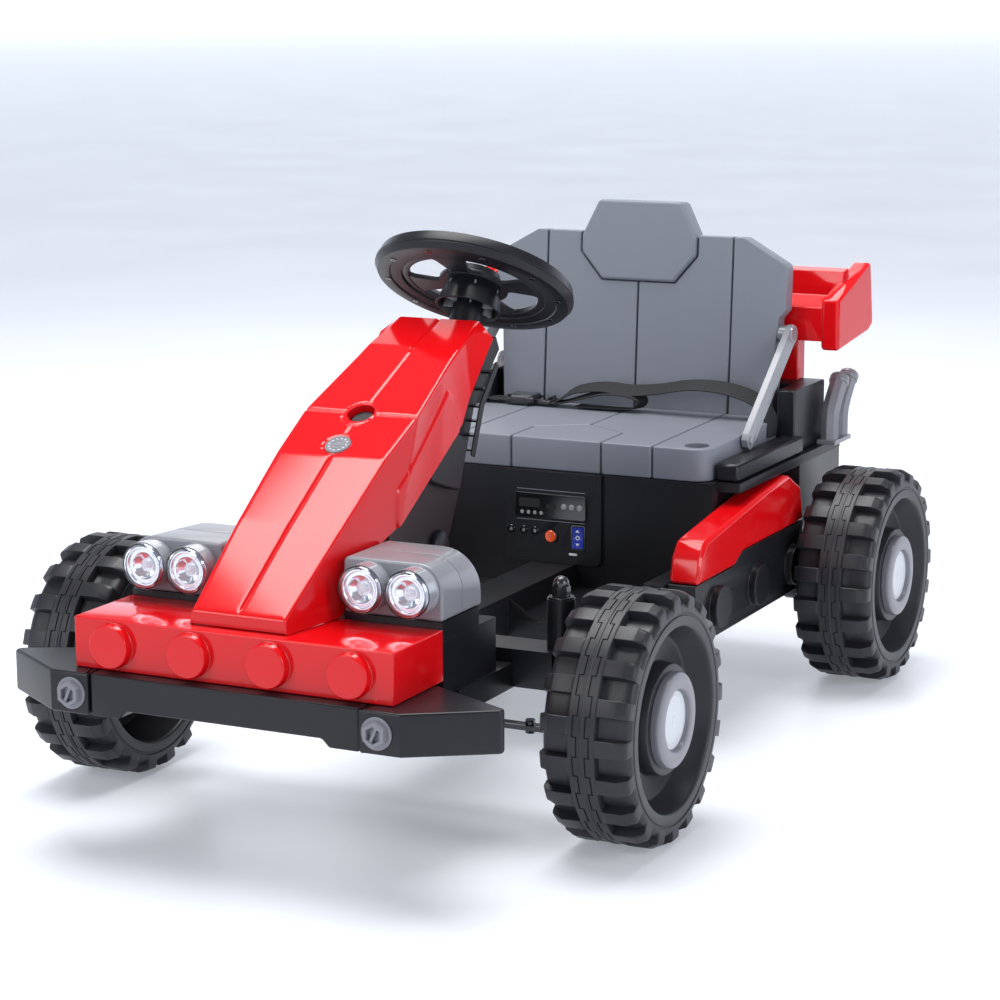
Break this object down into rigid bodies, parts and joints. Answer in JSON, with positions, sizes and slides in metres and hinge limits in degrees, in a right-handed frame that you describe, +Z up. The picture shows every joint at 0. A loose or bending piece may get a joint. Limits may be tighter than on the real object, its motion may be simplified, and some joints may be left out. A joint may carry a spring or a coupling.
{
  "type": "electric go-kart",
  "caption": "Child's battery go-kart with chunky lugged wheels, linked steering, a low sloping hood, brick-style body, a seat with belt and a rear spoiler.",
  "frame": {"origin": "on the ground, under the middle of the kart's box", "axes": "front faces -Y, +Z is up, +X is the seated driver's left"},
  "size_m": [0.7252, 1.1972, 0.6019],
  "materials": {
    "black_plastic": "satin",
    "tread_plastic": "matte",
    "red_plastic": "gloss",
    "seat_grey": "satin",
    "silver_grey": "satin",
    "steel": "brushed",
    "clear_lens": "clear",
    "webbing": "woven",
    "orange_switch": "gloss",
    "blue_switch": "gloss"
  },
  "bodies": {
    "chassis": {"battery": "black_plastic", "belt_buckle": "black_plastic", "belt_strap_left": "webbing", "belt_strap_right": "webbing", "bumper_bar": "black_plastic", "bumper_bolt_left": "silver_grey", "bumper_bolt_right": "silver_grey", "bumper_corner_left": "black_plastic", "bumper_corner_right": "black_plastic", "column_support": "black_plastic", "control_box": "black_plastic", "control_panel": "black_plastic", "exhaust_left": "silver_grey", "exhaust_right": "silver_grey", "floor_pan": "black_plastic", "front_brick": "red_plastic", "front_frame": "black_plastic", "hood": "red_plastic", "hood_badge": "silver_grey", "hood_bolt": "silver_grey", "lamp_pod_left": "silver_grey", "lamp_pod_right": "silver_grey", "lens_left_inner": "clear_lens", "lens_left_outer": "clear_lens", "lens_right_inner": "clear_lens", "lens_right_outer": "clear_lens", "media_module": "black_plastic", "motor_left": "black_plastic", "motor_right": "black_plastic", "rear_axle": "steel", "rear_box": "black_plastic", "seat_back": "seat_grey", "seat_base": "seat_grey", "seat_box": "black_plastic", "side_panel_left": "red_plastic", "side_panel_right": "red_plastic", "skirt_left": "black_plastic", "skirt_right": "black_plastic", "spoiler": "red_plastic", "strut_left": "silver_grey", "strut_right": "silver_grey"},
    "steering": {"steering_wheel": "black_plastic", "steering_shaft": "steel"},
    "knuckle_left": {"knuckle_left": "steel", "kingpin_nut_left": "steel"},
    "knuckle_right": {"knuckle_right": "steel", "kingpin_nut_right": "steel"},
    "tie_rod": {"tie_rod": "steel"},
    "wheel_front_left": {"wheel_front_left": "tread_plastic", "hub_front_left": "silver_grey"},
    "wheel_front_right": {"wheel_front_right": "tread_plastic", "hub_front_right": "silver_grey"},
    "wheel_rear_left": {"wheel_rear_left": "tread_plastic", "hub_rear_left": "silver_grey"},
    "wheel_rear_right": {"wheel_rear_right": "tread_plastic", "hub_rear_right": "silver_grey"},
    "pedal": {"accelerator_pedal": "black_plastic"},
    "power_rocker": {"power_switch": "orange_switch"},
    "direction_rocker": {"direction_switch": "blue_switch"}
  },
  "joints": [
    {"name": "steering", "type": "hinge", "parent": "chassis", "child": "steering", "pos_m": [0, -0.03085, 0.5341], "axis": [0, 0.512, 0.859], "range_deg": [-28, 28]},
    {"name": "knuckle_left", "type": "hinge", "parent": "chassis", "child": "knuckle_left", "pos_m": [0.231, -0.29375, 0.1325], "axis": [0, 0, 1], "range_deg": [-24, 24]},
    {"name": "knuckle_right", "type": "hinge", "parent": "chassis", "child": "knuckle_right", "pos_m": [-0.231, -0.29375, 0.1325], "axis": [0, 0, 1], "range_deg": [-24, 24]},
    {"name": "tie_rod", "type": "hinge", "parent": "knuckle_left", "child": "tie_rod", "pos_m": [0.231, -0.2579, 0.09464], "axis": [0, 0, 1], "range_deg": [-24, 24]},
    {"name": "wheel_front_left", "type": "hinge", "parent": "knuckle_left", "child": "wheel_front_left", "pos_m": [0.31265, -0.29375, 0.1325], "axis": [1, 0, 0], "continuous": true},
    {"name": "wheel_front_right", "type": "hinge", "parent": "knuckle_right", "child": "wheel_front_right", "pos_m": [-0.31265, -0.29375, 0.1325], "axis": [1, 0, 0], "continuous": true},
    {"name": "wheel_rear_left", "type": "hinge", "parent": "chassis", "child": "wheel_rear_left", "pos_m": [0.30745, 0.44195, 0.1325], "axis": [1, 0, 0], "continuous": true},
    {"name": "wheel_rear_right", "type": "hinge", "parent": "chassis", "child": "wheel_rear_right", "pos_m": [-0.30745, 0.44195, 0.1325], "axis": [1, 0, 0], "continuous": true},
    {"name": "accelerator", "type": "hinge", "parent": "chassis", "child": "pedal", "pos_m": [-0.13, -0.25885, 0.178], "axis": [1, 0, 0], "range_deg": [0, 14], "stiffness_Nm_per_rad": 1.2, "springref_deg": -5.73},
    {"name": "power_rocker", "type": "hinge", "parent": "chassis", "child": "power_rocker", "pos_m": [-0.0025, 0.17865, 0.202], "axis": [1, 0, 0], "range_deg": [-7, 7]},
    {"name": "direction_rocker", "type": "hinge", "parent": "chassis", "child": "direction_rocker", "pos_m": [0.034, 0.17865, 0.203], "axis": [1, 0, 0], "range_deg": [-7, 7]}
  ],
  "couplings": [
    {"joint": "knuckle_left", "follows": "steering", "ratio": 0.8368},
    {"joint": "knuckle_right", "follows": "steering", "ratio": 0.8368},
    {"joint": "tie_rod", "follows": "steering", "ratio": -0.8368}
  ]
}
